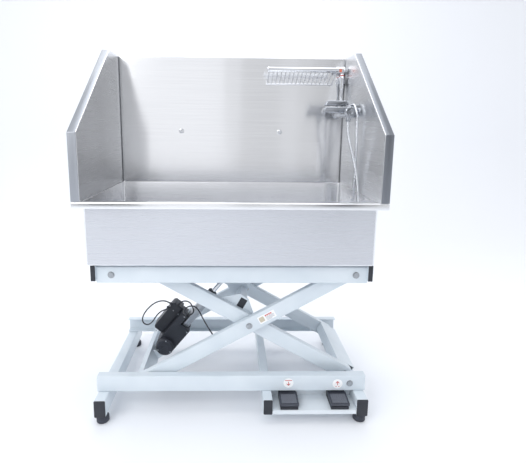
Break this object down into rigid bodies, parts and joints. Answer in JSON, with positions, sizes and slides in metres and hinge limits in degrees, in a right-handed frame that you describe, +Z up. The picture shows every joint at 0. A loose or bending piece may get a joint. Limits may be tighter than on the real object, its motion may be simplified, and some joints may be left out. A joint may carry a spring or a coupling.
{
  "type": "pet grooming bath",
  "caption": "Electric-lift dog grooming bath: deep stainless tub with splash panels on a scissor lift, with foot switches, mixer tap, hand shower and bottle rack.",
  "frame": {"origin": "on the floor, under the middle of the object's box", "axes": "+X to the groomer's right along the tub, +Y from the open front to the back panel, +Z up"},
  "size_m": [1.3, 0.714, 1.6895],
  "materials": {
    "stainless": "brushed stainless sheet",
    "frame_paint": "pale grey powder coat",
    "tray_paint": "white powder coat",
    "zinc": "zinc-plated steel",
    "black_plastic": "fine-grained moulded plastic",
    "grey_plastic": "moulded plastic",
    "nylon": "machined nylon",
    "rubber": "moulded rubber",
    "tread_rubber": "studded rubber",
    "chrome": "polished chrome",
    "bronze": "sintered bronze",
    "cable_sheath": "smooth PVC sheath"
  },
  "bodies": {
    "base": {"base_rail_front": "frame_paint", "base_rail_rear": "frame_paint", "base_side_tubes": "frame_paint", "base_middle_tube": "frame_paint", "base_end_caps": "black_plastic", "pedal_tray": "tray_paint", "pedal_bases": "black_plastic", "lower_pivot_pins": "zinc"},
    "foot_front_left": {"foot_front_left": "rubber"},
    "foot_front_right": {"foot_front_right": "rubber"},
    "foot_rear_left": {"foot_rear_left": "rubber"},
    "foot_rear_right": {"foot_rear_right": "rubber"},
    "pedal_down": {"treadle_down": "black_plastic", "tread_down": "tread_rubber"},
    "pedal_up": {"treadle_up": "black_plastic", "tread_up": "tread_rubber"},
    "inner_arms": {"inner_arm_front": "frame_paint", "inner_arm_rear": "frame_paint", "inner_arm_bushes": "bronze", "inner_cross_box": "frame_paint", "lift_tube": "frame_paint", "lift_tube_caps": "black_plastic", "lift_lever_plates": "frame_paint", "upper_roller_pins": "zinc"},
    "outer_arms": {"outer_arm_front": "frame_paint", "outer_arm_rear": "frame_paint", "outer_arm_bushes": "bronze", "centre_pins": "zinc", "lower_roller_pins": "zinc", "outer_cross_tube": "frame_paint", "actuator_ears": "frame_paint"},
    "roller_lower_front": {"roller_lower_front": "nylon"},
    "roller_lower_rear": {"roller_lower_rear": "nylon"},
    "roller_upper_front": {"roller_upper_front": "nylon"},
    "roller_upper_rear": {"roller_upper_rear": "nylon"},
    "actuator": {"actuator_housing": "black_plastic", "actuator_motor": "grey_plastic", "control_box": "grey_plastic", "actuator_tube": "zinc", "motor_cable": "cable_sheath", "pedal_cable": "cable_sheath"},
    "rod": {"actuator_rod": "chrome"},
    "tub": {"upper_rail_front": "frame_paint", "upper_rail_rear": "frame_paint", "upper_end_members": "frame_paint", "upper_pivot_pins": "zinc", "tub_basin": "stainless", "side_panel_left": "stainless", "side_panel_right": "stainless", "back_panel": "stainless", "waste_outlet": "black_plastic", "tether_eyes": "chrome", "bottle_rack": "stainless", "mixer_body": "chrome", "shower_holder": "chrome", "shower_hose": "chrome"},
    "strainer": {"drain_strainer": "stainless"},
    "mixer_cap": {"mixer_cap": "chrome"},
    "mixer_lever": {"mixer_lever": "chrome"},
    "hand_shower": {"hand_shower": "chrome"}
  },
  "joints": [
    {"name": "lift", "type": "hinge", "parent": "base", "child": "inner_arms", "pos_m": [0.547, 0, 0.1595], "axis": [0, 1, 0], "range_deg": [-15, 3]},
    {"name": "scissor_centre", "type": "hinge", "parent": "inner_arms", "child": "outer_arms", "pos_m": [0.0835, 0, 0.41925], "axis": [0, 1, 0], "range_deg": [-6, 30]},
    {"name": "tub_pivot", "type": "hinge", "parent": "outer_arms", "child": "tub", "pos_m": [0.547, 0, 0.679], "axis": [0, 1, 0], "range_deg": [-15, 3]},
    {"name": "actuator_pivot", "type": "hinge", "parent": "outer_arms", "child": "actuator", "pos_m": [-0.37144, 0, 0.14423], "axis": [0, 1, 0], "range_deg": [-1.5, 0.4]},
    {"name": "rod_slide", "type": "slide", "parent": "actuator", "child": "rod", "axis": [0.6367, 0, 0.7711], "range_m": [-0.0956, 0.0192]},
    {"name": "pedal_down_press", "type": "hinge", "parent": "base", "child": "pedal_down", "pos_m": [0.2635, -0.262, 0.096], "axis": [1, 0, 0], "range_deg": [0, 4], "stiffness_Nm_per_rad": 6, "springref_deg": -5.73},
    {"name": "pedal_up_press", "type": "hinge", "parent": "base", "child": "pedal_up", "pos_m": [0.491, -0.262, 0.096], "axis": [1, 0, 0], "range_deg": [0, 4], "stiffness_Nm_per_rad": 6, "springref_deg": -5.73},
    {"name": "mixer_turn", "type": "hinge", "parent": "tub", "child": "mixer_cap", "pos_m": [0.556, 0.055, 1.4194], "axis": [0, 0, 1], "range_deg": [-45, 45]},
    {"name": "mixer_lift", "type": "hinge", "parent": "mixer_cap", "child": "mixer_lever", "pos_m": [0.556, 0.055, 1.4368], "axis": [0, 1, 0], "range_deg": [0, 18]},
    {"name": "hand_shower_lift", "type": "slide", "parent": "tub", "child": "hand_shower", "axis": [0, 0, 1], "range_m": [0, 0.03]},
    {"name": "strainer_lift", "type": "slide", "parent": "tub", "child": "strainer", "axis": [0, 0, 1], "range_m": [0, 0.08]},
    {"name": "roller_lower_front_spin", "type": "hinge", "parent": "outer_arms", "child": "roller_lower_front", "pos_m": [-0.38, -0.27, 0.1595], "axis": [0, 1, 0], "continuous": true},
    {"name": "roller_lower_rear_spin", "type": "hinge", "parent": "outer_arms", "child": "roller_lower_rear", "pos_m": [-0.38, 0.27, 0.1595], "axis": [0, 1, 0], "continuous": true},
    {"name": "roller_upper_front_spin", "type": "hinge", "parent": "inner_arms", "child": "roller_upper_front", "pos_m": [-0.38, -0.27, 0.679], "axis": [0, 1, 0], "continuous": true},
    {"name": "roller_upper_rear_spin", "type": "hinge", "parent": "inner_arms", "child": "roller_upper_rear", "pos_m": [-0.38, 0.27, 0.679], "axis": [0, 1, 0], "continuous": true},
    {"name": "foot_front_left_turn", "type": "hinge", "parent": "base", "child": "foot_front_left", "pos_m": [-0.5755, -0.317, 0.02], "axis": [0, 0, 1], "continuous": true},
    {"name": "foot_front_right_turn", "type": "hinge", "parent": "base", "child": "foot_front_right", "pos_m": [0.5895, -0.317, 0.02], "axis": [0, 0, 1], "continuous": true},
    {"name": "foot_rear_left_turn", "type": "hinge", "parent": "base", "child": "foot_rear_left", "pos_m": [-0.5755, 0.317, 0.02], "axis": [0, 0, 1], "continuous": true},
    {"name": "foot_rear_right_turn", "type": "hinge", "parent": "base", "child": "foot_rear_right", "pos_m": [0.5895, 0.317, 0.02], "axis": [0, 0, 1], "continuous": true}
  ],
  "couplings": [
    {"joint": "scissor_centre", "follows": "lift", "ratio": -2},
    {"joint": "tub_pivot", "follows": "lift", "ratio": 1},
    {"joint": "actuator_pivot", "follows": "lift", "ratio": 0.09155},
    {"joint": "rod_slide", "follows": "lift", "m_per_rad": 0.36462}
  ]
}
